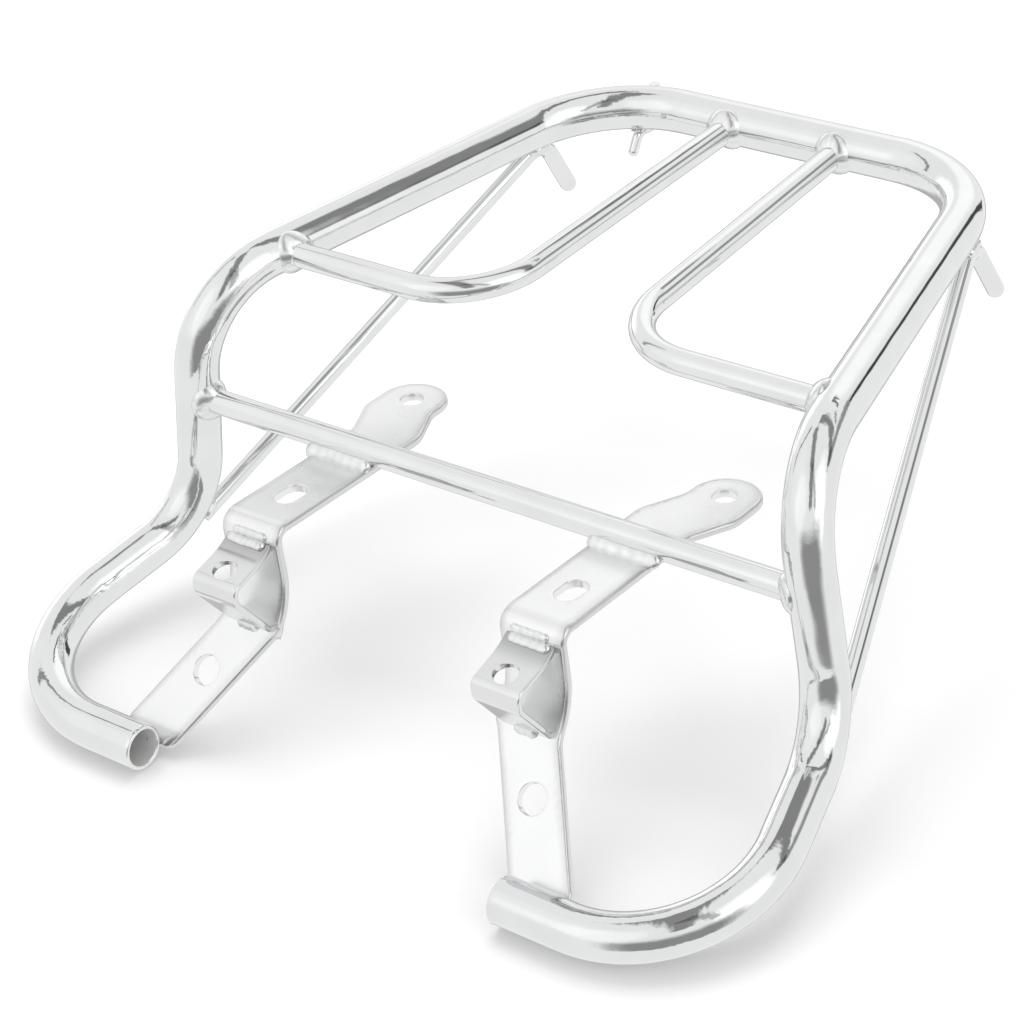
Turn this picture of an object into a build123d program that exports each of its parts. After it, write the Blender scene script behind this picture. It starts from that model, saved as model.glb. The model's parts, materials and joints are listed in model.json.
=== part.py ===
from build123d import *
import os
from math import atan, cos, degrees, radians, sin, sqrt, tan

# Tubular rear luggage rack of a motorcycle: one bent tube carries a welded cross bar, two bent
# deck bars, two folded mounting straps with their clips, two brace rods that end in tie-down pegs,
# and one wire tie hook. All sizes are in millimetres.
#
# Frame: +Z is up and the deck lies level. The motorcycle's front is towards -Y, so the rider's left
# is +X. The sizes below are laid out with X = 0 on the middle line, Z = 0 at the axes of the deck
# rails and Y = 0 close to the cross bar. The finished pieces are then moved together, so that the
# origin is the centre of the rack's bounding box.

# Stock
tube_od = 16.0
tube_wall = 1.5
deck_bar_d = 9.0
cross_bar_d = 9.0
brace_d = 6.3
hook_d = 4.0
strap_w = 25.0
strap_t = 3.0
clip_w = 19.0
clip_t = 2.0
clip_edge_r = 0.6
tube_deburr = 0.4

# Main tube: the corner points of its axis before bending, as widths between the two sides
foot_gap = 152.6
foot_y = -101.9
foot_z = -110.1
flare_w = 315.0
knee_w = 270.0
knee_y = -3.9
knee_z = -88.9
shoulder_w = 248.4
shoulder_y = 3.0
deck_rear_w = 165.8
deck_rear_y = 188.0
foot_bend_r = 45.0
knee_bend_r = 32.0
shoulder_bend_r = 36.0
rear_bend_r = 46.5

# Bars
cross_bar_z = -42.0
deck_bar_y = 39.5
deck_bar_corner_w = 53.0
deck_bar_rear_w = 46.4
deck_bar_bend_r = 31.0

# Mounting straps
strap_pitch = 117.8
strap_front_y = -53.0
strap_fall = 4.3
strap_bend_r = 4.5
strap_lower_angle = 46.0
strap_lower_bend_r = 28.0
strap_slant = 28.0
strap_slant_r = 12.0
strap_end_r = 5.0
strap_foot_short = 2.0
tab_jog_y = 14.5
tab_jog_lag = 7.5
tab_jog_angle = 26.0
tab_jog_r = 12.0
tab_hole_y = 42.0
tab_out = 7.8
tab_hole_d = 8.5
slot_y = -31.0
slot_w = 8.5
slot_l = 13.0
foot_hole_up = 31.5
foot_hole_d = 10.5

# Clips
clip_reach = 20.2
clip_root_slope = 30.0
clip_root_run = 6.0
clip_root_r = 25.0
clip_slope = 12.0
clip_nose_r = 3.0
clip_face_h = 5.5
clip_chin_r = 5.0
clip_hole_out = 13.2
clip_hole_d = 8.5

# Braces and pegs
brace_tail = 3.5
peg_past_bend = 3.5
peg_outset = 3.0
peg_bend_r = 8.0
peg_length = 28.0
peg_rake = 28.0
peg_splay = 2.0

# Tie hook
hook_x = -64.0
hook_rise = 5.0
hook_rear_r = 8.0
hook_front_r = 4.0
hook_leg_l = 7.0
hook_leg_rake = 35.0

# Welds: leg of the main ones and of those on rods, lengths of the runs on the straps, and the depth
# to which round pieces are coped where they seat on one another
weld_leg = 2.5
fine_weld = 1.5
strap_run = 23.0
clip_top_run = 14.0
clip_low_run = 9.5
seat_bite = 0.3

tube_r = tube_od / 2
brace_r = brace_d / 2
hook_r = hook_d / 2
strap_x = strap_pitch / 2


def flat(x, point):
    """A point of a side profile, given as (y, z), placed at x."""
    return Vector(x, point.X, point.Y)


def swept(path, section):
    """A section carried square to a path from the path's first point."""
    return sweep(Plane(path @ 0, z_dir=path % 0) * section, path=path)


def round_bar(path, diameter):
    return swept(path, Circle(diameter / 2))


def strip(path, section):
    """A flat section folded along a path in a side plane; its folds run along X."""
    start = Plane(path @ 0, x_dir=(1, 0, 0), z_dir=path % 0)
    return sweep(start * section, path=path)


def both_sides(name, shape):
    """The left piece, which is the one at +X, and its mirror image."""
    return {"left_" + name: shape, "right_" + name: mirror(shape, about=Plane.YZ)}


def tube_path():
    """The main tube's axis from the left foot round the deck to the right foot."""
    half = [
        Vector(foot_gap / 2, foot_y, foot_z),
        Vector(flare_w / 2, foot_y, foot_z),
        Vector(knee_w / 2, knee_y, knee_z),
        Vector(shoulder_w / 2, shoulder_y, 0),
        Vector(deck_rear_w / 2, deck_rear_y, 0),
    ]
    other = [Vector(-p.X, p.Y, p.Z) for p in reversed(half)]
    radii = [foot_bend_r, knee_bend_r, shoulder_bend_r, rear_bend_r]
    return FilletPolyline(*half, *other, radius=radii + radii[::-1])


def leg_point(z):
    """The point of the left leg's axis at height z."""
    low = Vector(knee_w / 2, knee_y, knee_z)
    high = Vector(shoulder_w / 2, shoulder_y, 0)
    return low + (high - low) * ((z - low.Z) / (high.Z - low.Z))


def rail_x(y):
    """Half the distance between the straight side rails' axes at y."""
    share = (y - shoulder_y) / (deck_rear_y - shoulder_y)
    return (shoulder_w + (deck_rear_w - shoulder_w) * share) / 2


def rear_bend():
    """Centre of the left rear bend in plan, and the y at which that bend starts."""
    lean = degrees(atan((shoulder_w - deck_rear_w) / 2 / (deck_rear_y - shoulder_y)))
    setback = rear_bend_r * tan(radians((90 - lean) / 2))
    centre = Vector(deck_rear_w / 2 - setback, deck_rear_y - rear_bend_r, 0)
    return centre, centre.Y + rear_bend_r * sin(radians(lean))


def rear_bend_point(y):
    """The point of the left rear bend's axis at y."""
    centre, _ = rear_bend()
    return Vector(centre.X + sqrt(rear_bend_r**2 - (y - centre.Y) ** 2), y, 0)


def rear_bend_point_at_x(x):
    """The point of the rear bend's axis at x, on either side."""
    centre, _ = rear_bend()
    return Vector(x, centre.Y + sqrt(rear_bend_r**2 - (abs(x) - centre.X) ** 2), 0)


def collar(seat, direction, bar_d):
    """Raw weld ring round a bar whose axis leaves the tube's axis at seat."""
    start = Plane(seat, z_dir=direction)
    skirt = Cylinder(bar_d / 2 + weld_leg, tube_r, align=(Align.CENTER, Align.CENTER, Align.MIN))
    return start * (skirt + Pos(0, 0, tube_r) * Torus(bar_d / 2, weld_leg))


def bead(x0, x1, y, z, radius):
    """Raw weld run along X, with rounded ends."""
    run = Cylinder(radius, x1 - x0)
    run = fillet(run.edges().filter_by(GeomType.CIRCLE), 3 * radius / 4)
    return Pos((x0 + x1) / 2, y, z) * Rot(0, 90, 0) * run


axis = tube_path()
tube_core = round_bar(axis, tube_od)
tube_skin = round_bar(axis, tube_od + 2 * fine_weld)


def make_main_tube():
    """The bent tube, with the rims of its open ends deburred."""
    tube = swept(axis, Circle(tube_r) - Circle(tube_r - tube_wall))
    rims = tube.faces().filter_by(GeomType.PLANE).edges()
    return fillet(rims, min(tube_deburr, tube_wall / 3))


def make_cross_bar():
    end = leg_point(cross_bar_z)
    return round_bar(Line(end, Vector(-end.X, end.Y, end.Z)), cross_bar_d) - tube_core


def deck_bar_points():
    return [
        Vector(rail_x(deck_bar_y), deck_bar_y, 0),
        Vector(deck_bar_corner_w / 2, deck_bar_y, 0),
        Vector(deck_bar_rear_w / 2, deck_rear_y, 0),
    ]


def make_deck_bar():
    path = FilletPolyline(*deck_bar_points(), radius=deck_bar_bend_r)
    return round_bar(path, deck_bar_d) - tube_core


# Side profile of the strap's middle surface, as (y, z): the top flat is tangent to the underside of
# the cross bar, and the lower flat is tangent to the back of the foot of the tube.
fall = radians(strap_fall)
dive = radians(strap_lower_angle)
cross_point = leg_point(cross_bar_z)
top_up = Vector(sin(fall), cos(fall))
top_rear = Vector(cos(fall), -sin(fall))
under_bar = Vector(cross_point.Y, cross_point.Z) - top_up * (cross_bar_d / 2 + strap_t / 2)
low_up = Vector(cos(dive), sin(dive))
low_back = Vector(sin(dive), -cos(dive))
behind_foot = Vector(foot_y, foot_z) + low_back * (tube_r + strap_t / 2)
riser_y = strap_front_y + strap_t / 2


def at_y(point, direction, y):
    return point + direction * ((y - point.X) / direction.X)


top_corner = at_y(under_bar, top_rear, riser_y)
low_corner = at_y(behind_foot, low_up, riser_y)
riser_top = top_corner.Y - strap_bend_r * tan(radians(90 + strap_fall) / 2)
flat_length = (low_corner - behind_foot).length - strap_lower_bend_r * tan(
    radians(90 - strap_lower_angle) / 2
)
low_plane = Plane(
    origin=flat(strap_x, behind_foot), x_dir=(1, 0, 0), z_dir=-flat(0, low_back)
)


def slant_shift(up):
    """How far outwards the lower flat's middle line has gone at a height above the foot seat."""
    return (flat_length - up) * tan(radians(strap_slant))


def strap_blank():
    """The strap before its holes: a folded band trimmed to the outline of the strap.

    Behind the cross bar the strap jogs outwards. Its inner edge does so a little further back than
    its outer edge.
    """
    band_w = 4 * strap_w + 2 * slant_shift(0)
    tail = at_y(under_bar, top_rear, tab_hole_y + strap_w)
    end = behind_foot + low_up * strap_foot_short
    side = [flat(strap_x, p) for p in (tail, top_corner, low_corner, end)]
    folds = FilletPolyline(*side, radius=[strap_bend_r, strap_lower_bend_r])
    band = strip(folds, Rectangle(band_w, strap_t))

    half = strap_w / 2
    foot = slant_shift(strap_foot_short)
    high = flat_length + strap_lower_bend_r
    inner = [(-half, high), (-half, flat_length), (foot - half, strap_foot_short)]
    outer = [(foot + half, strap_foot_short), (half, flat_length), (half, high)]
    outline = make_face(Polyline(*inner, *outer, close=True))
    outline = fillet(outline.vertices().sort_by(Axis.Y)[2:4], strap_slant_r)
    outline = fillet(outline.vertices().sort_by(Axis.Y)[:2], strap_end_r)
    low_trim = extrude(low_plane * outline, strap_lower_bend_r, both=True)

    front_y = (behind_foot + low_up * flat_length).X
    jog = tab_out / tan(radians(tab_jog_angle))
    inner_y = tab_jog_y + tab_jog_lag
    inner = [(-half, front_y), (-half, inner_y), (tab_out - half, inner_y + jog), (tab_out - half, tab_hole_y)]
    outer = [(tab_out + half, tab_hole_y), (tab_out + half, tab_jog_y + jog), (half, tab_jog_y), (half, front_y)]
    tab = make_face(Polyline(*inner, *outer, close=True))
    corners = tab.vertices().filter_by_position(Axis.Y, tab_jog_y - 1, inner_y + jog + 1)
    tab = fillet(corners, tab_jog_r) + Pos(tab_out, tab_hole_y) * Circle(half)
    top_trim = extrude(Pos(strap_x, 0) * tab, 2 * abs(foot_z), both=True)
    return band & (top_trim + low_trim)


strap_solid = strap_blank()


def on_top_flat(x, y):
    return Plane(flat(x, at_y(under_bar, top_rear, y)), x_dir=(1, 0, 0), z_dir=flat(0, top_up))


def make_strap():
    slot = on_top_flat(strap_x, slot_y) * extrude(
        SlotOverall(slot_l, slot_w, rotation=90), strap_t, both=True
    )
    tab_hole = on_top_flat(strap_x + tab_out, tab_hole_y) * Cylinder(tab_hole_d / 2, 2 * strap_t)
    at_hole = low_plane * Pos(slant_shift(foot_hole_up), foot_hole_up)
    foot_hole = at_hole * Cylinder(foot_hole_d / 2, 2 * strap_t)
    return strap_solid - slot - tab_hole - foot_hole


def falling(slope):
    """The direction that leads forwards and down at a slope, as (y, z)."""
    return Vector(-cos(radians(slope)), -sin(radians(slope)))


# Side profile of the clip's middle surface: from the top of the strap's riser, hollowed out to the
# nose, down its front face to the chin, and back to where the strap's lower flat starts.
clip_root = Vector(riser_y, riser_top)
clip_hollow = at_y(clip_root, falling(clip_root_slope), riser_y - clip_root_run)
clip_out = falling(clip_slope)
clip_nose = at_y(clip_hollow, clip_out, strap_front_y - clip_reach + clip_t / 2)
clip_chin = clip_nose - Vector(0, clip_face_h)
clip_heel = behind_foot + low_up * flat_length


def make_clip():
    side = [flat(strap_x, p) for p in (clip_root, clip_hollow, clip_nose, clip_chin, clip_heel)]
    folds = FilletPolyline(*side, radius=[clip_root_r, clip_nose_r, clip_chin_r])
    band = strip(folds, RectangleRounded(clip_w, clip_t, min(clip_edge_r, clip_t / 3)))
    centre = at_y(clip_hollow, clip_out, strap_front_y - clip_hole_out)
    upright = flat(0, Vector(clip_out.Y, -clip_out.X))
    square = Plane(flat(strap_x, centre), x_dir=(1, 0, 0), z_dir=upright)
    return band - square * Cylinder(clip_hole_d / 2, 3 * clip_t) - strap_solid


def brace_points():
    """Tail, bend corner and peg tip of the left brace's axis.

    The tail lies on the outside of the knee bend. The crest of the rod's own bend touches the
    outer underside of the rail, a little behind where the rail's rear bend starts.
    """
    foot_to_knee = Vector(knee_w / 2, knee_y, knee_z) - Vector(flare_w / 2, foot_y, foot_z)
    knee_to_top = Vector(shoulder_w / 2, shoulder_y, 0) - Vector(knee_w / 2, knee_y, knee_z)
    outwards = (foot_to_knee.normalized() - knee_to_top.normalized()).normalized()
    half_turn = radians(foot_to_knee.get_angle(knee_to_top) / 2)
    crown = Vector(knee_w / 2, knee_y, knee_z) - outwards * knee_bend_r * (1 / cos(half_turn) - 1)
    seat_gap = tube_r + brace_r - seat_bite
    low_seat = crown + outwards * seat_gap
    bend_centre, bend_start = rear_bend()
    rail = rear_bend_point(bend_start + peg_past_bend)
    aside = (rail - bend_centre).normalized() * peg_outset
    high_seat = rail + aside - Vector(0, 0, sqrt(seat_gap**2 - peg_outset**2))

    rise = (high_seat - low_seat).normalized()
    rake = radians(peg_rake)
    splay = radians(peg_splay)
    drop = Vector(sin(splay), sin(rake) * cos(splay), -cos(rake) * cos(splay)).normalized()
    half_bend = radians(rise.get_angle(drop) / 2)
    inwards = (drop - rise).normalized()
    across = (rise + drop).normalized()
    upwards = (inwards * inwards.Z + across * across.Z).normalized()
    crest = inwards * (peg_bend_r / cos(half_bend)) + upwards * peg_bend_r
    corner = high_seat - crest
    rise = (corner - low_seat).normalized()
    return low_seat - rise * brace_tail, corner, corner + drop * peg_length


def brace_rod(diameter, reach=0.0):
    tail, corner, tip = brace_points()
    tail = tail - (corner - tail).normalized() * reach
    path = FilletPolyline(tail, corner, tip, radius=peg_bend_r)
    return round_bar(path, diameter)


def make_brace():
    tip = brace_points()[2]
    return brace_rod(brace_d) + Pos(tip) * Sphere(brace_r) - tube_core


def hook_rod(diameter):
    """The tie hook's wire: up behind the rail, round below it, and a leg that rakes forwards."""
    seat = rear_bend_point_at_x(hook_x)
    across = tube_r / sqrt(1 - ((abs(hook_x) - rear_bend()[0].X) / rear_bend_r) ** 2)
    rear_y = seat.Y + across + hook_r
    low_z = seat_bite - tube_r - hook_r
    rake = radians(hook_leg_rake)
    knuckle = Vector(hook_x, seat.Y - hook_r, low_z)
    tip = knuckle + Vector(0, -sin(rake), -cos(rake)) * hook_leg_l
    path = FilletPolyline(
        Vector(hook_x, rear_y, hook_rise),
        Vector(hook_x, rear_y, low_z),
        knuckle,
        tip,
        radius=[hook_rear_r, hook_front_r],
    )
    return round_bar(path, diameter), tip


def make_hook():
    wire, tip = hook_rod(hook_d)
    return wire + Pos(tip) * Sphere(hook_r) - tube_core


main_tube = make_main_tube()
cross_bar = make_cross_bar()
deck_bar = make_deck_bar()
strap = make_strap()
clip = make_clip()
brace = make_brace()
hook = make_hook()


def make_cross_weld():
    return collar(cross_point, (-1, 0, 0), cross_bar_d) - cross_bar - tube_core


def make_deck_front_weld():
    front, corner, _ = deck_bar_points()
    return collar(front, corner - front, deck_bar_d) - deck_bar - tube_core


def make_deck_rear_weld():
    _, corner, rear = deck_bar_points()
    return collar(rear, corner - rear, deck_bar_d) - deck_bar - tube_core


def make_strap_weld():
    """Run along the front of the cross bar, in its corner with the strap's top face."""
    corner = at_y(under_bar, top_rear, cross_point.Y - cross_bar_d / 2)
    height = corner.Y + strap_t / 2 + weld_leg / 2
    start = strap_x - strap_run / 2
    run = bead(start, start + strap_run, corner.X, height, weld_leg)
    return run - cross_bar - strap_solid


def make_clip_top_weld():
    start = strap_x - clip_top_run / 2
    run = bead(start, start + clip_top_run, strap_front_y, clip_root.Y + clip_t / 2, weld_leg)
    return run - clip - strap_solid


def make_clip_low_weld():
    seat = clip_heel - low_back * (strap_t / 2) - low_up * (clip_t / 2 + weld_leg / 4)
    start = strap_x - clip_low_run / 2
    run = bead(start, start + clip_low_run, seat.X, seat.Y, weld_leg)
    return run - clip - strap_solid


def make_foot_weld():
    """Run in the corner between the strap's front face and the top of the foot."""
    seat = behind_foot - low_back * (strap_t / 2) + low_up * (tube_r / 2)
    start = foot_gap / 2 + weld_leg
    end = strap_x + slant_shift(strap_foot_short) + strap_w / 4
    return bead(start, end, seat.X, seat.Y, weld_leg) - strap_solid - tube_core


def make_brace_foot_weld():
    sleeve = brace_rod(brace_d + 2 * fine_weld, reach=fine_weld)
    near = Pos(brace_points()[0]) * Sphere(2 * brace_d)
    return (sleeve & near & tube_skin) - brace - tube_core


def make_brace_top_weld():
    sleeve = brace_rod(brace_d + 2 * fine_weld)
    near = Pos(brace_points()[1]) * Sphere(3 * brace_d)
    return (sleeve & near & tube_skin) - brace - tube_core


def make_hook_weld():
    sleeve, _ = hook_rod(hook_d + 2 * fine_weld)
    below = Pos(hook_x, deck_rear_y, -tube_r - hook_r) * Box(tube_od, 4 * tube_od, tube_od)
    return (sleeve & below & tube_skin) - hook - tube_core


nodes = {
    "main_tube": main_tube,
    "cross_bar": cross_bar,
    "tie_hook": hook,
    "tie_hook_weld": make_hook_weld(),
}
nodes.update(both_sides("deck_bar", deck_bar))
nodes.update(both_sides("strap", strap))
nodes.update(both_sides("clip", clip))
nodes.update(both_sides("brace", brace))
nodes.update(both_sides("cross_bar_weld", make_cross_weld()))
nodes.update(both_sides("deck_bar_front_weld", make_deck_front_weld()))
nodes.update(both_sides("deck_bar_rear_weld", make_deck_rear_weld()))
nodes.update(both_sides("strap_weld", make_strap_weld()))
nodes.update(both_sides("clip_top_weld", make_clip_top_weld()))
nodes.update(both_sides("clip_low_weld", make_clip_low_weld()))
nodes.update(both_sides("foot_weld", make_foot_weld()))
nodes.update(both_sides("brace_foot_weld", make_brace_foot_weld()))
nodes.update(both_sides("brace_top_weld", make_brace_top_weld()))

middle = Compound(list(nodes.values())).bounding_box().center()
to_origin = Pos(0, -middle.Y, -middle.Z)

os.makedirs("parts", exist_ok=True)
for name, solid in nodes.items():
    placed = to_origin * solid
    placed.label = name
    export_step(placed, "parts/" + name + ".step")
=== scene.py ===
# %% [markdown]
# # A chrome luggage rack for a motorcycle
#
# The rack is a weldment: one long bent tube, with round bars, folded straps and rods welded to it,
# and chrome plated as a whole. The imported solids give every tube, bar and strap its true place and
# size. This lesson dresses them: it draws the long tube as one smooth skin, lays uneven weld beads in
# place of the plain ones, rounds the sheared edges of the flat steel, plates everything in chrome and
# lights it in a white tent.

# %% Load the rack
import json

import bmesh
import bpy
import numpy as np
from mathutils import Matrix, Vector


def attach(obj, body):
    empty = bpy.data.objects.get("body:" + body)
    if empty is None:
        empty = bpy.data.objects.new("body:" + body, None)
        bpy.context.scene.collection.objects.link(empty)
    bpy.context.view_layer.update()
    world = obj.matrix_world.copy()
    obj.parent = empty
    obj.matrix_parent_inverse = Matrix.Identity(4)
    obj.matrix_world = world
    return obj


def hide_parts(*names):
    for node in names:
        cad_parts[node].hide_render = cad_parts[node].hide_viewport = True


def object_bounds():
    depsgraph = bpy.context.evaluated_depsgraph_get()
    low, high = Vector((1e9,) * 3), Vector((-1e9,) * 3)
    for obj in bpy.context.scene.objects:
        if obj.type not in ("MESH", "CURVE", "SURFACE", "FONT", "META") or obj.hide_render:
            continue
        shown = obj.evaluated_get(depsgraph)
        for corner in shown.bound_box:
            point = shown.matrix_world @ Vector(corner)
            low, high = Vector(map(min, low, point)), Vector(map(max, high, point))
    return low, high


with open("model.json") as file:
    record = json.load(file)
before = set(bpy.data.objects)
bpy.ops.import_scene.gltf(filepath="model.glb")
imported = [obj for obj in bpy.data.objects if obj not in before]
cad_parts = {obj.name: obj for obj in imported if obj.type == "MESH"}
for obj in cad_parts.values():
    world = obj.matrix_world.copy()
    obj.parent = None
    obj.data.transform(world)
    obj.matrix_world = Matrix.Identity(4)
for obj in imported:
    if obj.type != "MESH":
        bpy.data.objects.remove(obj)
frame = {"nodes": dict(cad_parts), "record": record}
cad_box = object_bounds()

solids = frame["nodes"]
print("pieces in the frame:", len(solids))
print("box of the rack, m:", [[round(v, 4) for v in corner] for corner in cad_box])

# %% [markdown]
# ## The lines that the rack is bent along
#
# The tube's skin follows its axis, and weld beads lie in the corners where two pieces meet, so the
# first need is to know where those pieces run. A bender turns a straight bar into runs and arcs. The
# same is done here: a row of corner points, each rounded by its bend radius. A spline through the
# points would be quicker to write, but it would wander off the true arcs and the beads would float.
#
# Lengths are in millimetres until they go into a mesh. They are laid out from the deck rails' height
# and moved to the frame's origin at the end, in the same way as the solids.

# %% Bend a line
MM = 0.001
TO_ORIGIN = np.array([0.0, -43.514, 55.05])
STEP = 0.5


def unit(v):
    """A vector, or each row of vectors, divided by its length."""
    v = np.asarray(v, float)
    return v / np.linalg.norm(v, axis=-1, keepdims=True)


def distances(line):
    """How far along a line each of its points lies: the running sum of the lengths between them."""
    return np.r_[0, np.cumsum(np.linalg.norm(np.diff(line, axis=0), axis=1))]


def bent_line(corners, radii, step=STEP):
    """Points along a line with rounded corners.

    At a corner between the unit directions a and b that turn by the angle w, the arc of radius r
    starts r tan(w / 2) before the corner. Its points are start + r m + r (a sin s - m cos s), with m
    square to a on the inner side, and s running from 0 to w.
    """
    corners = np.asarray(corners, float)
    pieces = [corners[:1]]
    for before, corner, after, r in zip(corners, corners[1:], corners[2:], radii):
        a = unit(corner - before)
        b = unit(after - corner)
        turn = np.arccos(np.clip(a @ b, -1, 1))
        m = unit(b - (b @ a) * a)
        start = corner - a * r * np.tan(turn / 2)
        s = np.linspace(0, turn, max(8, int(r * turn / step)))[:, None]
        pieces.append(start + r * m + r * (a * np.sin(s) - m * np.cos(s)))
    pieces.append(corners[-1:])
    rough = np.vstack(pieces)
    along = distances(rough)
    even = np.arange(0, along[-1], step)
    return np.stack([np.interp(even, along, rough[:, k]) for k in range(3)], axis=1)


quarter = bent_line([[0, 0, 0], [10, 0, 0], [10, 10, 0]], [10])
print("points in a quarter turn of 10 mm radius:", len(quarter))

# %% Bend the tube's axis
TUBE_R, BAR_R, BRACE_R, HOOK_R = 8.0, 4.5, 3.15, 2.0
LEFT_CORNERS = np.array(
    [
        [76.3, -101.9, -110.1],
        [157.5, -101.9, -110.1],
        [135.0, -3.9, -88.9],
        [124.2, 3.0, 0.0],
        [82.9, 188.0, 0.0],
    ]
)
LEFT_BENDS = [45, 32, 36, 46.5]
OTHER_SIDE = np.array([-1.0, 1.0, 1.0])
all_corners = np.vstack([LEFT_CORNERS, LEFT_CORNERS[::-1] * OTHER_SIDE])
tube_line = bent_line(all_corners, LEFT_BENDS + LEFT_BENDS[::-1])
print("length of the bent tube, mm:", round(float(distances(tube_line)[-1])))

# %% [markdown]
# ## The long tube
#
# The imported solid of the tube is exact, but it is made of loose triangles, and chrome shows every one
# of them. A curve with a round bevel would be smooth, but it has no wall and no bore. So the tube is
# drawn as a closed profile carried along its axis: out along the outside, round the deburred rim of
# one foot, back through the bore, and round the rim of the other foot. A bender also flattens a tube a
# little where it turns, and that is worked in.

# %% Follow the tube's axis
EVENED = 9
line_s = distances(tube_line)
line_way = unit(np.gradient(tube_line, axis=0))
line_turn = np.gradient(line_way, line_s, axis=0)
mean = np.ones(EVENED) / EVENED
line_turn = np.stack(
    [np.convolve(np.pad(k, EVENED // 2, "edge"), mean, "valid") for k in line_turn.T], axis=1
)


def along_tube(values, s):
    """Values given along the tube's line, read at the distances s from the left foot."""
    return np.stack([np.interp(s, line_s, v) for v in values.T], axis=1)


print("tightest bend of the tube, mm:", round(1 / float(np.linalg.norm(line_turn, axis=1).max()), 1))

# %% Draw the profile
BORE_R, RIM_R = 6.5, 0.5
RING_GAP, BORE_RINGS = 1.5, 240


def tube_profile():
    """The closed profile of the tube: distance along the axis, radius, and whether it is the bore.

    At the angle q round the rim, from the end face to the outside or to the bore, the profile is
    rim (1 - sin q) before the end of the tube and rim (1 - cos q) off the outside or the bore.
    """
    end = line_s[-1]
    q = np.radians([15, 45, 75])
    rim_s, off = RIM_R * (1 - np.sin(q)), RIM_R * (1 - np.cos(q))
    outside = np.arange(RIM_R, end - RIM_R, RING_GAP)
    inside = np.linspace(end - RIM_R, RIM_R, BORE_RINGS)
    outer, bore = np.full(len(outside), TUBE_R), np.full(len(inside), BORE_R)
    s = np.r_[outside, end - rim_s, end - rim_s[::-1], inside, rim_s, rim_s[::-1]]
    r = np.r_[outer, TUBE_R - off, (BORE_R + off)[::-1], bore, BORE_R + off, (TUBE_R - off)[::-1]]
    first, rings = len(outside) + 2 * len(q) - 1, np.arange(len(s))
    return s, r, (rings >= first) & (rings <= first + len(inside))


profile_s, profile_r, in_bore = tube_profile()
print("rings of the tube:", len(profile_s), "of which in the bore:", int(in_bore.sum()))

# %% Wrap the skin
AROUND, FLATTENED, SKIN_UNIT = 56, 0.02, 100
NEVER_ALONG = [0.75, -0.1, 0.65]


def tube_surface(s, r):
    """Points of the tube, and for each its place on the skin and how sharply the tube bends there.

    The point at the distance s along the axis and the angle p round it is axis(s) + r (N cos p +
    B sin p), with N = T x W and B = T x N for the axis direction T and one fixed direction W that the
    tube never runs along. Where the axis turns, the part of that offset towards the bend's centre
    shrinks by the flattening, and the rest grows by as much.
    """
    T = unit(along_tube(line_way, s))
    turn = along_tube(line_turn, s)
    bend = np.linalg.norm(turn, axis=1, keepdims=True)
    towards = turn / np.maximum(bend, 1e-6)
    bend = np.clip(bend / bend.max(), 0, 1)
    N = unit(np.cross(T, NEVER_ALONG))
    p = np.linspace(0, 2 * np.pi, AROUND, endpoint=False)
    cos, sin = np.cos(p)[None, :, None], np.sin(p)[None, :, None]
    offset = r[:, None, None] * (N[:, None] * cos + np.cross(T, N)[:, None] * sin)
    inwards = (offset * towards[:, None]).sum(2, keepdims=True) * towards[:, None]
    squeeze = FLATTENED * bend[:, None]
    points = along_tube(tube_line, s)[:, None] + (1 + squeeze) * offset - 2 * squeeze * inwards
    skin = np.stack(np.broadcast_arrays(cos[..., 0], sin[..., 0], s[:, None] / SKIN_UNIT), axis=2)
    return points.reshape(-1, 3), skin, np.repeat(bend, AROUND)


def grid_quads(rows, columns, closed):
    """Quads between rings of points; a closed grid also joins the last ring to the first."""
    k = np.arange(rows if closed else rows - 1)[:, None]
    j = np.arange(columns)[None, :]
    k2, j2 = (k + 1) % rows, (j + 1) % columns
    quads = np.stack([k * columns + j, k2 * columns + j, k2 * columns + j2, k * columns + j2], -1)
    return quads.reshape(-1, 4)


points, skin, bend = tube_surface(profile_s, profile_r)
quads = grid_quads(len(profile_s), AROUND, True)
print("points of the tube:", len(points))

# %% Make the tube
tube_mesh = bpy.data.meshes.new("bent_tube")
tube_mesh.from_pydata(((points + TO_ORIGIN) * MM).tolist(), [], quads.tolist())
tube_mesh.attributes.new("skin", "FLOAT_VECTOR", "POINT").data.foreach_set("vector", skin.ravel())
tube_mesh.attributes.new("bend", "FLOAT", "POINT").data.foreach_set("value", bend)
tube_mesh.polygons.foreach_set("material_index", np.repeat(in_bore, AROUND).astype(int))
tube_mesh.shade_smooth()
bent_tube = bpy.data.objects.new("bent_tube", tube_mesh)
bpy.context.scene.collection.objects.link(bent_tube)
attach(bent_tube, "root")
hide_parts("main_tube")
print("faces of the tube:", len(quads))

# %% [markdown]
# ## One weld bead
#
# A bead is molten steel that set in the corner of two pieces and was plated over. It is low and wide,
# uneven in width and height, and faint ripples cross it. It could be a displaced torus, but a rope with
# its own line fits every joint of the rack: rings round the bar ends, short runs on the straps, and
# pairs of runs beside the rods. Each bead is one surface of two parameters, the way along the line and
# the way round the rope.

# %% Make a bead
BEAD_AROUND = 20
GROOVE, CROWN_LAG, UNEVEN, LUMP = 0.004, 0.35, 0.25, 0.14
END_SHARE, END_TIP = 1.6, 0.002


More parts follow.
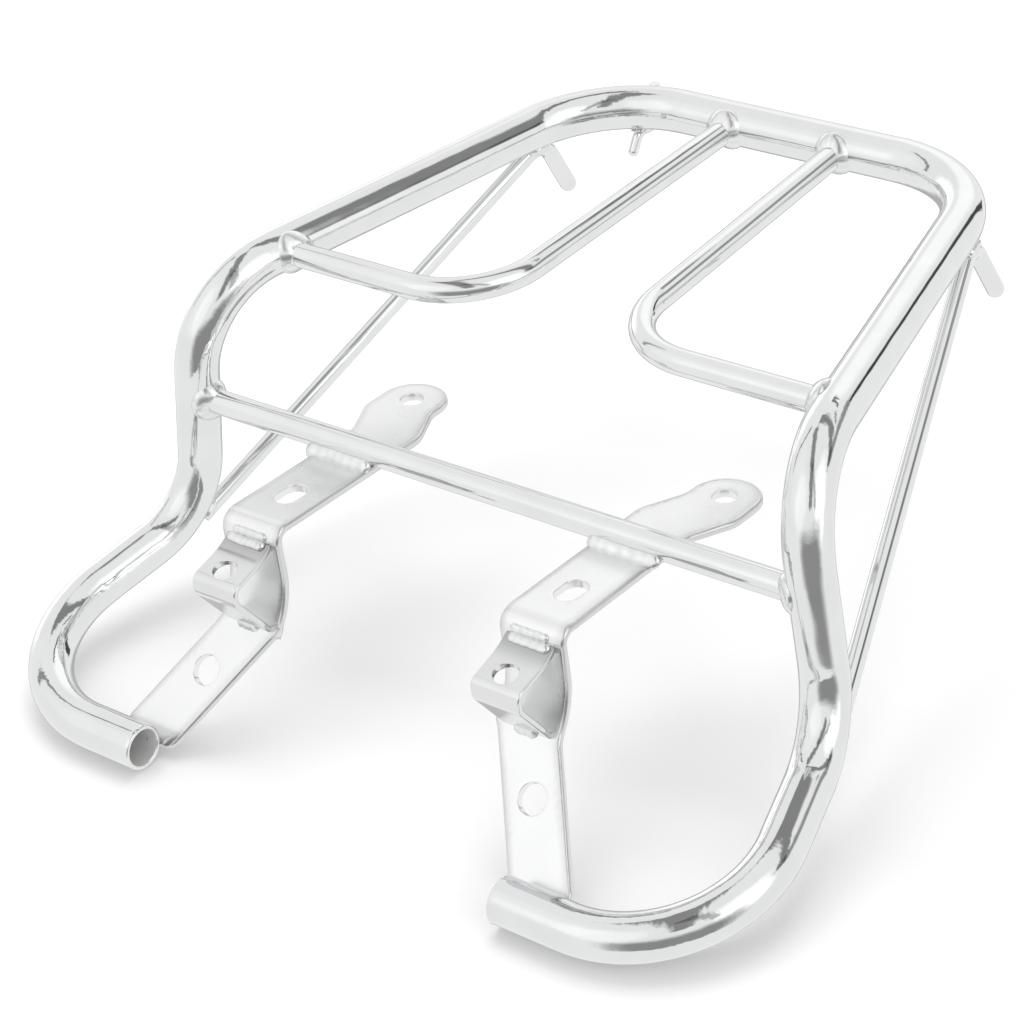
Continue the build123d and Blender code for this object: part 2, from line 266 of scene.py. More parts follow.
def bead_surface(line, outwards, high, wide, ripples, seed, closed):
    """Points, quads, end faces and groove depth of a bead along a line.

    The point at t along the line and the angle p round it is line(t) + f (high N cos p + wide B sin p),
    with N the outward direction square to the line and B square to both. The factor f is 1 - 0.004 g +
    lumps, where g = (1 + cos(2 pi x)) / 2 is the groove between two ripples, x counts the ripples
    along the line and lags behind on the crown by 0.35 cos p, and the lumps are six waves of random
    phase, lower the shorter they are. An open bead shrinks to a small tip at both ends like a half
    ellipse.
    """
    rng = np.random.default_rng(seed)
    count = len(line)
    ahead = np.roll(line, -1, 0) - np.roll(line, 1, 0) if closed else np.gradient(line, axis=0)
    tangent = unit(ahead)
    normal = unit(outwards - (outwards * tangent).sum(1, keepdims=True) * tangent)
    across = np.cross(tangent, normal)
    along = distances(line)
    t = (np.arange(count) / count if closed else along / along[-1])[:, None]
    p = np.linspace(0, 2 * np.pi, BEAD_AROUND, endpoint=False)[None, :]

    x = ripples * t - CROWN_LAG * np.cos(p) + UNEVEN * np.sin(2 * np.pi * t + rng.uniform(0, 6.3))
    groove = (1 + np.cos(2 * np.pi * x)) / 2
    waves = rng.integers(1, 6, 6)
    shifts = rng.uniform(0, 2 * np.pi, (2, 6))
    f = 1 - GROOVE * groove
    f = f + sum(
        LUMP / (1 + w) * np.sin(2 * np.pi * w * t + a) * np.cos(p - b) for w, a, b in zip(waves, *shifts)
    )
    ring = np.arange(BEAD_AROUND)
    end_faces = [] if closed else [ring[::-1], ring + (count - 1) * BEAD_AROUND]
    if not closed:
        from_end = np.minimum(t, 1 - t) * along[-1] / (END_SHARE * high)
        f = f * np.sqrt(1 - (1 - np.clip(from_end, END_TIP, 1)) ** 2)
    offset = high * normal[:, None] * np.cos(p)[..., None] + wide * across[:, None] * np.sin(p)[..., None]
    points = (line[:, None] + f[..., None] * offset).reshape(-1, 3)
    return points, grid_quads(count, BEAD_AROUND, closed), end_faces, groove.ravel()


def add_bead(name, node, surfaces):
    """One object from a list of bead surfaces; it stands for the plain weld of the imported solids."""
    points, faces, grooves, start = [], [], [], 0
    for some, quads, end_faces, groove in surfaces:
        faces += (quads + start).tolist() + [(face + start).tolist() for face in end_faces]
        points.append(some)
        grooves.append(groove)
        start += len(some)
    mesh = bpy.data.meshes.new(name)
    mesh.from_pydata(((np.vstack(points) + TO_ORIGIN) * MM).tolist(), [], faces)
    # The groove is stored so that the finish paints shade into the grooves between the ripples.
    mesh.attributes.new("groove", "FLOAT", "POINT").data.foreach_set("value", np.concatenate(grooves))
    mesh.shade_smooth()
    piece = bpy.data.objects.new(name, mesh)
    bpy.context.scene.collection.objects.link(piece)
    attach(piece, "root")
    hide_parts(node)
    return piece


SIDES = {"left": 1, "right": -1}


def on_side(side, values):
    """Points or directions of the left side, on a side: those of the right are mirrored and reversed."""
    return values if side == "left" else (values * OTHER_SIDE)[::-1]


print("points round a bead:", BEAD_AROUND)

# %% [markdown]
# ## Rings round the ends of the bars
#
# The cross bar and the deck bars butt against the tube and are welded all round. The bead lies in the
# saddle-shaped corner between two cylinders. That corner can be worked out exactly: at each angle
# round the bar, go along the bar until the distance from the tube's axis is the tube's radius.

# %% Find the corner line
LIFT = 0.1
CROSS_BAR_Z, DECK_BAR_Y = -42.0, 39.5
knee, shoulder, rear = LEFT_CORNERS[2:]


def saddle_ring(seat, bar, tube, count=160):
    """The corner line round a bar on a tube, and the directions that point out of the corner.

    A point at radius R round the bar's axis is seat + R e(u) + s bar, with e(u) the unit circle square
    to the bar. Taking away the parts along the tube leaves a quadratic in s: the squared distance from
    the tube's axis is the squared tube radius. The line is lifted a little out of the corner.
    """
    bar, tube = unit(bar), unit(tube)
    side = unit(tube - (tube @ bar) * bar)
    u = np.linspace(0, 2 * np.pi, count, endpoint=False)[:, None]
    e = np.cos(u) * side + np.sin(u) * np.cross(bar, side)
    R = BAR_R + LIFT
    flat_bar = bar - (bar @ tube) * tube
    flat_e = e - (e @ tube)[:, None] * tube
    a = flat_bar @ flat_bar
    b = 2 * R * (flat_e @ flat_bar)
    c = R**2 * (flat_e**2).sum(1) - TUBE_R**2
    s = (-b + np.sqrt(b**2 - 4 * a * c)) / (2 * a)
    return seat + R * e + (s + LIFT)[:, None] * bar, e + bar


def between(start, end, k, value):
    """The point of a straight line where its coordinate k has a value."""
    return start + (end - start) * (value - start[k]) / (end[k] - start[k])


cross_seat = between(knee, shoulder, 2, CROSS_BAR_Z)
print("the cross bar's axis meets the leg's at, mm:", cross_seat.round(1))

# %% Weld the bar ends
RING_HIGH, RING_WIDE, RING_RIPPLES = 2.1, 4.2, 15
ring_welds = {
    "cross_bar": (cross_seat, [-1, 0, 0], shoulder - knee),
    "deck_bar_front": (between(shoulder, rear, 1, DECK_BAR_Y), [-1, 0, 0], rear - shoulder),
    "deck_bar_rear": (np.array([23.2, 188.0, 0]), [3.3, -148.5, 0], [1, 0, 0]),
}
beads = []
for k, (joint, (seat, bar, tube)) in enumerate(ring_welds.items()):
    line, out = saddle_ring(seat, bar, tube)
    for side, turn in SIDES.items():
        seed = 10 * k + turn + 5
        ring = on_side(side, line), on_side(side, out)
        made = bead_surface(*ring, RING_HIGH, RING_WIDE, RING_RIPPLES, seed, True)
        beads.append(add_bead(f"{side}_{joint}_bead", f"{side}_{joint}_weld", [made]))
print("ring beads:", len(beads))

# %% [markdown]
# ## Short runs on the straps
#
# Each strap is welded along the front of the cross bar, its clip at the top and at the bottom, and its
# end to the foot of the tube. All are short straight runs across the strap, so they share one line
# along X and differ in place, length and thickness. The weld on top of a clip didn't fill its corner:
# it lies as two thin lips, one on the strap and one on the clip.

# %% Weld the straps
STRAP_X, RUN_POINTS = 58.9, 70
# A run is its middle and half length in x, its place in y and z, the direction out of its corner in y
# and z, its half height and half width, and its number of ripples.
runs = {
    "strap": [(STRAP_X + 1.2, 14.2, (-4.7, -45.1), (-0.7, 0.7), 1.8, 3.2, 7)],
    "clip_top": [
        (STRAP_X - 0.3, 7.4, (-52.7, -46.9), (-0.9, 0.4), 1.0, 1.5, 5),
        (STRAP_X + 0.4, 8.0, (-54.3, -49.2), (-0.5, 0.87), 1.1, 1.9, 6),
    ],
    "clip_low": [(STRAP_X, 4.75, (-60.9, -79.2), (-1.0, 0.08), 1.3, 2.8, 4)],
    "foot": [
        (81.3, 3.0, (-93.4, -112.8), (-0.1, 1.0), 2.2, 2.6, 2),
        (88.4, 3.6, (-93.4, -112.8), (-0.1, 1.0), 2.3, 2.7, 2),
    ],
}
for k, (joint, parts) in enumerate(runs.items()):
    for side, turn in SIDES.items():
        made = []
        for i, (x, half, (y, z), (out_y, out_z), high, wide, ripples) in enumerate(parts):
            xs = np.linspace(x - half, x + half, RUN_POINTS)
            line = np.stack([xs, np.full_like(xs, y), np.full_like(xs, z)], axis=1)
            out = np.tile([0.0, out_y, out_z], (RUN_POINTS, 1))
            seed = 40 + 7 * k + 3 * i + turn
            run = on_side(side, line), on_side(side, out)
            made.append(bead_surface(*run, high, wide, ripples, seed, False))
        beads.append(add_bead(f"{side}_{joint}_bead", f"{side}_{joint}_weld", made))
print("beads so far:", len(beads))

# %% [markdown]
# ## Pairs of runs beside the rods
#
# A brace lies along the tube and touches it on one line, so it is welded by a run on each side. The
# run lies in the valley between two cylinders: a ball of a chosen radius that rests on both of them
# rolls along that valley. Where the rod leaves the tube the ball would fall through, and the run ends.

# %% Bend the rods
PEG_BEND, HOOK_BENDS, HOOK_STEP = 8.0, [8.0, 4.0], 0.25
brace_corners = [[135.536, -4.535, -92.601], [91.929, 159.397, -7.744], [92.906, 172.535, -32.451]]
hook_corners = [[-64, 194.928, 5], [-64, 194.928, -9.7], [-64, 182.22, -9.7], [-64, 178.205, -15.434]]
brace_line = bent_line(brace_corners, [PEG_BEND])
hook_line = bent_line(hook_corners, HOOK_BENDS, HOOK_STEP)
print("points along a brace and the hook:", len(brace_line), len(hook_line))

# %% Find the valleys
HOOK_BALL, HOOK_REACH = 1.1, 5.0


def valley_runs(rod_line, rod_r, ball, reach, step):
    """The two valley lines beside a rod on the tube, with their outward directions.

    For a rod point Q and its nearest point A on the tube's axis, D is their distance and n the
    direction from A to Q. The ball's centre lies h along n and w aside, where h = (D^2 + (tube +
    ball)^2 - (rod + ball)^2) / 2 D and w^2 = (tube + ball)^2 - h^2. Only points within reach of the
    closest touch are kept, and only where the gap is no wider than 1.2 times the ball's radius.
    """
    gaps = np.linalg.norm(rod_line[:, None] - tube_line[None], axis=2)
    nearest = gaps.argmin(1)
    D = gaps.min(1)
    near = np.abs(np.arange(len(D)) - D.argmin()) * step <= reach
    near &= D < TUBE_R + rod_r + 1.2 * ball
    Q, A, D = rod_line[near], tube_line[nearest[near]], D[near]
    n = (Q - A) / D[:, None]
    aside = unit(np.cross(unit(np.gradient(Q, axis=0)), n))
    h = (D**2 + (TUBE_R + ball) ** 2 - (rod_r + ball) ** 2) / (2 * D)
    w = np.sqrt(np.maximum((TUBE_R + ball) ** 2 - h**2, 0.01))
    centre = A + h[:, None] * n
    return [(centre + s * w[:, None] * aside, s * aside) for s in (1, -1)]


hook_valleys = valley_runs(hook_line, HOOK_R, HOOK_BALL, HOOK_REACH, HOOK_STEP)
print("points in a valley beside the hook:", len(hook_valleys[0][0]))

# %% Weld the rods
VALLEY_WIDE, BRACE_RIPPLES = 1.4, 6
HOOK_HIGH, HOOK_WIDE, HOOK_RIPPLES = 1.2, 1.5, 4
# A weld of a brace is a stretch of its line, the ball's radius and the reach from the closest touch.
rods = {"brace_foot": (brace_line[:60], 1.3, 11.0), "brace_top": (brace_line[60:], 1.2, 8.0)}
for k, (joint, (rod, ball, reach)) in enumerate(rods.items()):
    valleys = valley_runs(rod, BRACE_R, ball, reach, STEP)
    for side in SIDES:
        pair = []
        for i, (line, out) in enumerate(valleys):
            run = on_side(side, line), on_side(side, out)
            pair.append(bead_surface(*run, ball, VALLEY_WIDE * ball, BRACE_RIPPLES, 70 + 9 * k + i, False))
        beads.append(add_bead(f"{side}_{joint}_bead", f"{side}_{joint}_weld", pair))
pair = [
    bead_surface(line, out, HOOK_HIGH, HOOK_WIDE, HOOK_RIPPLES, 95 + i, False)
    for i, (line, out) in enumerate(hook_valleys)
]
beads.append(add_bead("tie_hook_bead", "tie_hook_weld", pair))
print("beads in all:", len(beads), "with", sum(len(b.data.polygons) for b in beads), "faces")

# %% [markdown]
# ## Softer edges on the flat steel
#
# The straps and clips were sheared from strip, tumbled and plated, so no edge of theirs is sharp. Shade
# is painted into their colour along the edges of a strap, and on a clip near its weld, where a heat tint
# and painted shade in the crevice between the weld's lips darken it together. A Bevel modifier rounds an
# edge well, but it needs a mesh whose flats are whole, and painted shade that follows the edges needs
# points all over the flats. So a copy of the solid's points is merged, the triangles of each flat are
# joined, the edges are rounded, and planes cut the copy into small cells. It then stands for the solid.
#
# Where the slanted flat of a strap meets its fold, the solid has a ledge under a millimetre wide. The
# edges of the ledge are too short to be rounded without spikes, so they stay as they are.

# %% Join the flats and round the edges
SAME_FLAT, SHARP, ROUND_STEPS = np.radians(0.5), np.radians(40), 4
HOLE_REACH, LEDGE_REACH = 8.5 * MM, 2.5 * MM
hole_places = np.array([mount["pos_m"] for mount in frame["record"]["mounts"]])
left_ledge = (np.array([46.8, -59.36, -80.2]) + TO_ORIGIN) * MM


def whole_flats(node, mesh):
    """A bmesh of a solid with its points merged and its flats whole, and its lowest and highest corner.

    Points that agree to a thousandth of a millimetre are one point: each is rounded and numpy keeps one
    of every kind. Faces that meet at under half a degree become one face.
    """
    source = solids[node].data
    points = np.empty(len(source.vertices) * 3)
    source.vertices.foreach_get("co", points)
    points = points.reshape(-1, 3)
    corners = np.empty(len(source.loops), int)
    source.loops.foreach_get("vertex_index", corners)
    _, first, kept = np.unique(points.round(6), axis=0, return_index=True, return_inverse=True)
    triangles = kept.ravel()[corners].reshape(-1, 3)
    mesh.from_pydata(points[first].tolist(), [], triangles.tolist())
    whole = bmesh.new()
    whole.from_mesh(mesh)
    bmesh.ops.dissolve_limit(whole, angle_limit=SAME_FLAT, verts=whole.verts, edges=whole.edges)
    return whole, points.min(0), points.max(0)


def round_edges(whole, width, hole_width):
    """Round the sharp edges of a plate, and give the ends of those of its outline.

    Edges near a mount of the record are those of its hole, and get their own width.
    """
    sharp = [edge for edge in whole.edges if edge.calc_face_angle(0.0) > SHARP]
    ends = np.array([[tuple(v.co) for v in edge.verts] for edge in sharp])
    middle = ends.mean(1)
    on_left = np.c_[np.abs(middle[:, 0]), middle[:, 1:]]
    free = np.linalg.norm(on_left - left_ledge, axis=1) > LEDGE_REACH
    at_hole = np.linalg.norm(middle[:, None] - hole_places, axis=2).min(1) < HOLE_REACH
    for chosen, offset in ((free & at_hole, hole_width), (free & ~at_hole, width)):
        bmesh.ops.bevel(
            whole, geom=[edge for edge, use in zip(sharp, chosen) if use], offset=offset,
            segments=ROUND_STEPS, profile=0.5, affect="EDGES", clamp_overlap=False,
        )
    return ends[free & ~at_hole]


def cut_into_cells(whole, low, high, cell):
    """Cut a plate by planes square to each axis, a cell apart."""
    bmesh.ops.triangulate(whole, faces=whole.faces)
    for square, start, stop in zip(np.eye(3), low, high):
        for place in np.arange(start + cell / 2, stop, cell):
            every = [*whole.verts, *whole.edges, *whole.faces]
            bmesh.ops.bisect_plane(whole, geom=every, dist=1e-6, plane_co=square * place, plane_no=square)


print("mounts whose holes have their own rounding:", len(hole_places))

# %% Round the straps and clips
# Along a strap's edges, shade is painted into the colour over 3.6 mm. On a clip, a heat tint and painted
# crevice shade fade out over 10 mm from its top weld.
CLIP_WELD = (np.array([-54.0, -49.0]) + TO_ORIGIN[1:]) * MM
STRAP = dict(width=1.1 * MM, hole_width=0.35 * MM, cell=2.0 * MM, fade=3.6 * MM)
CLIP = dict(width=0.3 * MM, hole_width=0.3 * MM, cell=1.5 * MM, fade=10 * MM, weld=CLIP_WELD)
BATCHES = 24


def edge_distance(points, ends):
    """How far each point is from the nearest of some edges.

    For an edge from a to b the nearest place is a + u (b - a), where u is (p - a) . (b - a) over the
    squared length of the edge, held between 0 and 1. The points are taken in batches to save memory.
    """
    a, way = ends[:, 0], ends[:, 1] - ends[:, 0]
    found = []
    for some in np.array_split(points, BATCHES):
        from_a = some[:, None] - a
        u = np.clip((from_a * way).sum(2) / (way**2).sum(1), 0, 1)
        found.append(np.linalg.norm(from_a - u[..., None] * way, axis=2).min(1))
    return np.concatenate(found)


def softened(node, width, hole_width, cell, fade, weld=None):
    """A copy of a solid with rounded edges and small cells, and the painted shade at each point.

    With x the distance from the nearest edge, or from the line of a weld across the plate where one is
    given, and g = 1 - x / fade held above 0, the painted shade is g^2 (3 - 2 g). On a strap it is shade
    painted along the edges. On a clip it is a heat tint near the weld together with shade painted into
    the crevice between the weld's lips.
    """
    mesh = bpy.data.meshes.new(node + "_plate")
    whole, low, high = whole_flats(node, mesh)
    outline = round_edges(whole, width, hole_width)
    cut_into_cells(whole, low, high, cell)
    whole.to_mesh(mesh)
    whole.free()
    mesh.shade_smooth()
    place = np.empty(len(mesh.vertices) * 3)
    mesh.vertices.foreach_get("co", place)
    place = place.reshape(-1, 3)
    # This value darkens the colour. Along a strap's edges it is painted shade. At a clip's weld it is a
    # heat tint with painted shade.
    far = edge_distance(place, outline) if weld is None else np.linalg.norm(place[:, 1:] - weld, axis=1)
    painted_shade_and_tint = 1 - np.clip(far / fade, 0, 1)
    mesh.attributes.new("painted_shade_and_tint", "FLOAT", "POINT").data.foreach_set("value", painted_shade_and_tint**2 * (3 - 2 * painted_shade_and_tint))
    piece = bpy.data.objects.new(node + "_plate", mesh)
    bpy.context.scene.collection.objects.link(piece)
    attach(piece, "root")
    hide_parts(node)
    return piece


plates = []
for side in SIDES:
    plates.append(softened(f"{side}_strap", **STRAP))
    plates.append(softened(f"{side}_clip", **CLIP))
print("softened:", [f"{p.name} {len(p.data.polygons)} faces" for p in plates])

# %% [markdown]
# ## Chrome
#
# Chrome is a mirror laid over polished steel. It needs small faults to look real: the steel below was
# never quite flat, so reflections wander; polishing left fine lines along the tube; and bending wrinkled
# it a little where it turns. They come from noise in the piece's own coordinates and from what was stored
# at the points of the meshes. Shade is also painted into the colour: along the edges of the straps, at a
# clip's weld together with a heat tint, and in the grooves between a bead's ripples.
#
# Plating doesn't reach far into the tube, so its bore is dull steel. There the finish isn't a mirror,
# because a mirror that sees only itself would be black.

# %% Mix a finish
TINT_SIZE, DULL_SIZE, WANDER_SIZE, WRINKLE_SIZE, LINE_SIZE = 70, 140, 45, 210, 5.0
TINT_LOW = 0.965


def plating(
    name, colour, dull, wander, grain, grain_size, ripple=0.0, lines=0.0, greyer=None, metallic=1.0
):
    """A metal finish: tint, roughness and surface height from noise.

    Dull is the range of the roughness. Wander and grain are the heights in metres of the long and the
    short waves of the surface, ripple that of the wrinkles in the tube's bends, and lines that of the
    polishing lines along it. Greyer names a value stored at the points that paints shade into the tint,
    and the share of the tint left where it is 1.
    """
    mat = bpy.data.materials.new(name)
    mat.use_nodes = True
    tree = mat.node_tree
    tree.nodes.clear()
    add = tree.nodes.new
    link = tree.links.new
    out = add("ShaderNodeOutputMaterial")
    metal = add("ShaderNodeBsdfPrincipled")
    metal.inputs["Metallic"].default_value = metallic
    link(metal.outputs[0], out.inputs[0])
    where = add("ShaderNodeTexCoord").outputs["Object"]

    def stored(value):
        """The node that reads a value stored at the points."""
        node = add("ShaderNodeAttribute")
        node.attribute_name = value
        return node

    def noise(scale, detail, over=where):
        """Noise over the piece's own coordinates, or over others."""
        node = add("ShaderNodeTexNoise")
        node.inputs["Scale"].default_value = scale
        node.inputs["Detail"].default_value = detail
        link(over, node.inputs["Vector"])
        return node.outputs["Fac"]

    def spread(value, **ends):
        """A value mapped from one range to another."""
        node = add("ShaderNodeMapRange")
        for socket, number in ends.items():
            node.inputs[socket.replace("_", " ")].default_value = number
        link(value, node.inputs["Value"])
        return node.outputs["Result"]

    tint = add("ShaderNodeValToRGB")
    for element, place, share in zip(tint.color_ramp.elements, (0.35, 0.65), (TINT_LOW, 1.0)):
        element.position = place
        element.color = (*[c * share for c in colour], 1)
    link(noise(TINT_SIZE, 3), tint.inputs["Fac"])
    shown = tint.outputs["Color"]
    if greyer:
        scaled = add("ShaderNodeVectorMath")
        scaled.operation = "SCALE"
        link(shown, scaled.inputs[0])
        left = spread(stored(greyer[0]).outputs["Fac"], To_Min=1.0, To_Max=greyer[1])
        link(left, scaled.inputs["Scale"])
        shown = scaled.outputs[0]
    link(shown, metal.inputs["Base Color"])
    rough = spread(noise(DULL_SIZE, 4), From_Min=0.3, From_Max=0.7, To_Min=dull[0], To_Max=dull[1])
    link(rough, metal.inputs["Roughness"])

    heights = [(noise(WANDER_SIZE, 1), wander), (noise(grain_size, 2), grain)]
    if ripple:
        wrinkle = add("ShaderNodeMath")
        wrinkle.operation = "MULTIPLY"
        link(noise(WRINKLE_SIZE, 2), wrinkle.inputs[0])
        link(stored("bend").outputs["Fac"], wrinkle.inputs[1])
        heights.append((wrinkle.outputs[0], ripple))
    if lines:
        heights.append((noise(LINE_SIZE, 3, stored("skin").outputs["Vector"]), lines))
    normal = None
    for value, height in heights:
        bump = add("ShaderNodeBump")
        bump.inputs["Distance"].default_value = height
        bump.inputs["Strength"].default_value = 1.0
        link(value, bump.inputs["Height"])
        if normal:
            link(normal, bump.inputs["Normal"])
        normal = bump.outputs["Normal"]
    link(normal, metal.inputs["Normal"])
    return mat


tube_chrome = plating(
    "tube_chrome", (0.78, 0.785, 0.79), dull=(0.03, 0.07), wander=0.0002, grain=0.000002,
    grain_size=900, ripple=0.00012, lines=0.00003,
)
print("nodes in the tube's chrome:", len(tube_chrome.node_tree.nodes))

# %% Plate the steel
bar_chrome = plating(
    "bar_chrome", (0.79, 0.795, 0.80), dull=(0.04, 0.09), wander=0.0001, grain=0.000002,
    grain_size=1200,
)
# The straps' colour is darker along their edges: painted shade.
strap_chrome = plating(
    "strap_chrome", (0.87, 0.873, 0.876), dull=(0.22, 0.28), wander=0.00004, grain=0.000001,
    grain_size=1500, greyer=("painted_shade_and_tint", 0.76),
)
# The clips' colour is darker near their weld: a heat tint, and painted shade in the crevice between the
# weld's lips.
clip_chrome = plating(
    "clip_chrome", (0.76, 0.763, 0.766), dull=(0.11, 0.17), wander=0.0001, grain=0.000002,
    grain_size=1200, greyer=("painted_shade_and_tint", 0.58),
)
# The beads' colour is darker in the grooves between their ripples: painted shade.
bead_chrome = plating(
    "bead_chrome", (0.82, 0.823, 0.826), dull=(0.16, 0.30), wander=0.0002, grain=0.00005,
    grain_size=620, greyer=("groove", 0.94),
)
bore_steel = plating(
    "bore_steel", (0.80, 0.795, 0.79), dull=(0.45, 0.65), wander=0.0003, grain=0.00004,
    grain_size=700, metallic=0.25,
)
finishes = {"main_tube": tube_chrome, "strap": strap_chrome, "clip": clip_chrome}
finishes.update({part: bar_chrome for part in ("deck_bar", "brace", "cross_bar", "tie_hook")})
for name, solid in solids.items():
    part = name.removeprefix("left_").removeprefix("right_")
    solid.data.materials.clear()
    solid.data.materials.append(finishes.get(part, bead_chrome))
for piece in beads:
    piece.data.materials.append(bead_chrome)
for piece in plates:
    piece.data.materials.append(clip_chrome if "clip" in piece.name else strap_chrome)
for mat in (tube_chrome, bore_steel):
    bent_tube.data.materials.append(mat)
print("finishes:", *sorted({mat.name for mat in [*finishes.values(), bead_chrome, bore_steel]}))

# %% [markdown]
# ## A white tent
#
# Polished chrome has no colour of its own and shows only its surroundings. Product photographs of it
# are taken in a tent of white cloth, and what makes the tubes look like metal is what isn't white
# there: the seams of the cloth, the gaps between its walls, and the dim room behind the camera. A plain
# white world would leave the tubes blank. So the world is made as such a tent is: white cloth, brighter
# where a lamp stands behind it, with dark seams that run from one direction to another.

# %% Hang the tent
scene = bpy.context.scene
scene.view_settings.view_transform = "Standard"
world = bpy.data.worlds.new("tent")
scene.world = world
world.use_nodes = True
tent = world.node_tree
tent.nodes.clear()
sky = tent.nodes.new("ShaderNodeBackground")
tent.links.new(sky.outputs[0], tent.nodes.new("ShaderNodeOutputWorld").inputs[0])
way = tent.nodes.new("ShaderNodeTexCoord").outputs["Generated"]


def wire(socket, value):
    """Set a socket to a number, or link another socket to it."""
    if isinstance(value, (int, float)):
        socket.default_value = value
    else:
        tent.links.new(value, socket)


def maths(kind, one, two=0.0):
    """The result of a Math node."""
    node = tent.nodes.new("ShaderNodeMath")
    node.operation = kind
    wire(node.inputs[0], one)
    wire(node.inputs[1], two)
    return node.outputs[0]


def ease(value, low, high, to=(0.0, 1.0)):
    """A smooth step of a value: the first number of to below low, the second above high."""
    node = tent.nodes.new("ShaderNodeMapRange")
    node.interpolation_type = "SMOOTHSTEP"
    sockets = ("Value", "From Min", "From Max", "To Min", "To Max")
    for socket, number in zip(sockets, (value, low, high, *to)):
        wire(node.inputs[socket], number)
    return node.outputs[0]


def along(direction):
    """The cosine of the angle between the way of the ray and a direction."""
    node = tent.nodes.new("ShaderNodeVectorMath")
    node.operation = "DOT_PRODUCT"
    tent.links.new(way, node.inputs[0])
    node.inputs[1].default_value = tuple(float(v) for v in unit(direction))
    return node.outputs["Value"]


print("the tent starts with nodes:", len(tent.nodes))

# %% Cut its seams and patches
def toward(bearing, height):
    """A direction: degrees from the rack's rear round by its left, and the sine of its height."""
    turn = np.radians(bearing)
    level = np.sqrt(1 - height**2)
    return np.array([np.sin(turn) * level, np.cos(turn) * level, height])


def seam(start, end, half_width, soft, depth):
    """How dark a seam makes the cloth: depth near the great circle from start to end, else nothing.

    A ray is on the great circle where it is square to the cross product of both ends. It is between
    the ends where its angle from the middle direction is under half the angle between them.
    """
    start, end = toward(*start), toward(*end)
    middle = unit(start + end)
    off = maths("ABSOLUTE", along(np.cross(start, end)))
    across = ease(off, half_width - soft, half_width + soft, (depth, 0.0))
    reach = np.arccos(start @ middle)
    ends = ease(along(middle), float(np.cos(reach + 2 * soft)), float(np.cos(reach)))
    return maths("MULTIPLY", across, ends)


def patch(centre, inner, outer, amount):
    """The strength of a round patch: amount up to the inner angle, none past the outer one."""
    inner, outer = np.cos(np.radians([inner, outer]))
    return ease(along(toward(*centre)), float(outer), float(inner), (0.0, amount))


# Each seam: its start and end as bearing and height, its half width, its softness and its depth.
seams = [
    seam((-70, 0.93), (140, 0.60), 0.10, 0.04, 0.70),
    seam((155, 0.95), (118, 0.52), 0.06, 0.03, 0.50),
    seam((-48, 0.88), (67, 0.44), 0.08, 0.03, 0.72),
    seam((-100, 0.28), (-77, 0.76), 0.035, 0.02, 0.66),
    seam((-25, 0.70), (6, 0.72), 0.03, 0.02, 0.82),
    seam((15, 0.79), (37, 0.67), 0.025, 0.02, 0.62),
    seam((2, -0.16), (19, 0.39), 0.06, 0.02, 0.92),
    seam((20, 0.44), (62, 0.46), 0.11, 0.05, 0.66),
]
# Each lamp behind the cloth: its bearing and height, its inner and outer angle and its gain.
lamps = [
    patch((99, 0.62), 8, 26, 0.32),
    patch((95, 0.28), 8, 26, 0.5),
    patch((193, 0.58), 12, 30, 0.16),
    patch((-18, 0.46), 10, 24, 0.22),
    patch((-63, 0.06), 8, 24, 0.45),
    patch((-135, 0.59), 14, 32, 0.06),
]
print("seams:", len(seams), "lamps behind the cloth:", len(lamps))

# %% Light the tent
CLOTH, ROOM_BEARING, ROOM_DEPTH = 1.0, 138, 0.68
height = along((0, 0, 1))
room_side = ease(along(toward(ROOM_BEARING, 0.0)), 0.62, 0.9)
room_top, room_foot = ease(height, 0.1, 0.42, (ROOM_DEPTH, 0.0)), ease(height, -0.4, -0.36)
dim_room = maths("MULTIPLY", room_side, maths("MULTIPLY", room_top, room_foot))
rear_gap = patch((-40, -0.55), 16, 34, 0.5)
glow = CLOTH
for gain in lamps:
    glow = maths("ADD", glow, gain)
for shade in [*seams, dim_room, rear_gap]:
    glow = maths("MULTIPLY", glow, maths("SUBTRACT", 1.0, shade))
tent.links.new(glow, sky.inputs["Color"])
print("the tent now has nodes:", len(tent.nodes))

# %% [markdown]
# ## The floor and the overhead light
#
# The rack stands on white paper, and a large soft panel overhead makes the paper white all round it.
# The chrome shows neither of them, because each would fill half of every tube with plain white: in the
# panel's place it shows the tent's top, and in the paper's place the lower half of the tent, where the
# dim room behind the camera makes the dark stripe down the front of each leg.

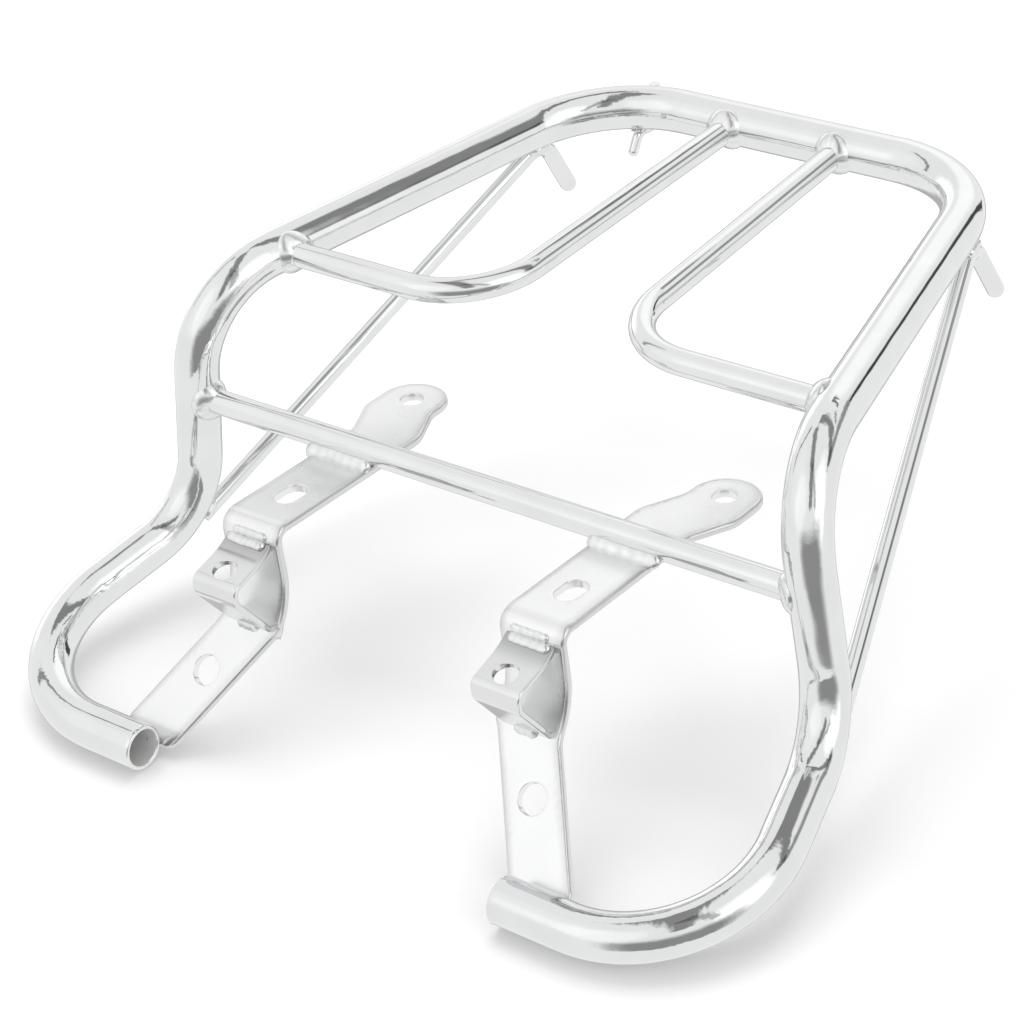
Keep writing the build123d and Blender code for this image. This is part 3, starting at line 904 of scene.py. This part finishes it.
# %% Lay the floor
FLOOR_HALF, FLOOR_GAP = 6.0, 0.0005
ground = cad_box[0].z - FLOOR_GAP
corners = np.array([[-1, -1, 0], [1, -1, 0], [1, 1, 0], [-1, 1, 0]]) * FLOOR_HALF + [0, 0, ground]
floor_mesh = bpy.data.meshes.new("floor")
floor_mesh.from_pydata(corners.tolist(), [], [[0, 1, 2, 3]])
floor = bpy.data.objects.new("floor", floor_mesh)
scene.collection.objects.link(floor)
floor.visible_glossy = False
paper = bpy.data.materials.new("paper")
paper.use_nodes = True
paper.node_tree.nodes["Principled BSDF"].inputs["Base Color"].default_value = (0.95, 0.95, 0.95, 1)
paper.node_tree.nodes["Principled BSDF"].inputs["Roughness"].default_value = 0.9
floor_mesh.materials.append(paper)
print("floor at z =", round(ground, 4))


# %% Hang the panel
def placed(right, up, back, place):
    """The matrix of a lamp or camera: its three directions and its place, as columns."""
    return Matrix(np.c_[np.stack([right, up, back, place], 1).T, [0, 0, 0, 1]].T.tolist())


PANEL_PLACE, PANEL_SIZE, PANEL_POWER = np.array([-0.3, 0.5, 1.6]), (1.4, 1.0), 11.0
light = bpy.data.lights.new("overhead", "AREA")
light.shape = "RECTANGLE"
light.size, light.size_y = PANEL_SIZE
light.energy = PANEL_POWER
panel = bpy.data.objects.new("overhead", light)
panel.visible_glossy = False
back = unit(PANEL_PLACE)
right = unit(np.cross([0, 0, 1.0], back))
panel.matrix_world = placed(right, np.cross(back, right), back, PANEL_PLACE)
scene.collection.objects.link(panel)
print("panel at", PANEL_PLACE)

# %% [markdown]
# ## The camera
#
# The camera stands in front of the rack on its left, looks down by 33 degrees and is rolled by 8.

# %% Set the camera
FOCAL_MM, SENSOR_MM = 104.884, 36.0
EYE = np.array([0.561177, -0.652790, 0.543154])
bearing, fall, roll = np.radians([42.0882, 33.1565, -8.0452])
lens = bpy.data.cameras.new("camera")
lens.lens = FOCAL_MM
lens.sensor_width = SENSOR_MM
camera = bpy.data.objects.new("camera", lens)
back = np.array([np.sin(bearing) * np.cos(fall), -np.cos(bearing) * np.cos(fall), np.sin(fall)])
right = unit(np.cross(-back, [0, 0, 1.0]))
up = np.cross(right, -back)
turned_right = np.cos(roll) * right + np.sin(roll) * up
turned_up = -np.sin(roll) * right + np.cos(roll) * up
camera.matrix_world = placed(turned_right, turned_up, back, EYE)
scene.collection.objects.link(camera)
scene.camera = camera
print("camera at", EYE.round(3))
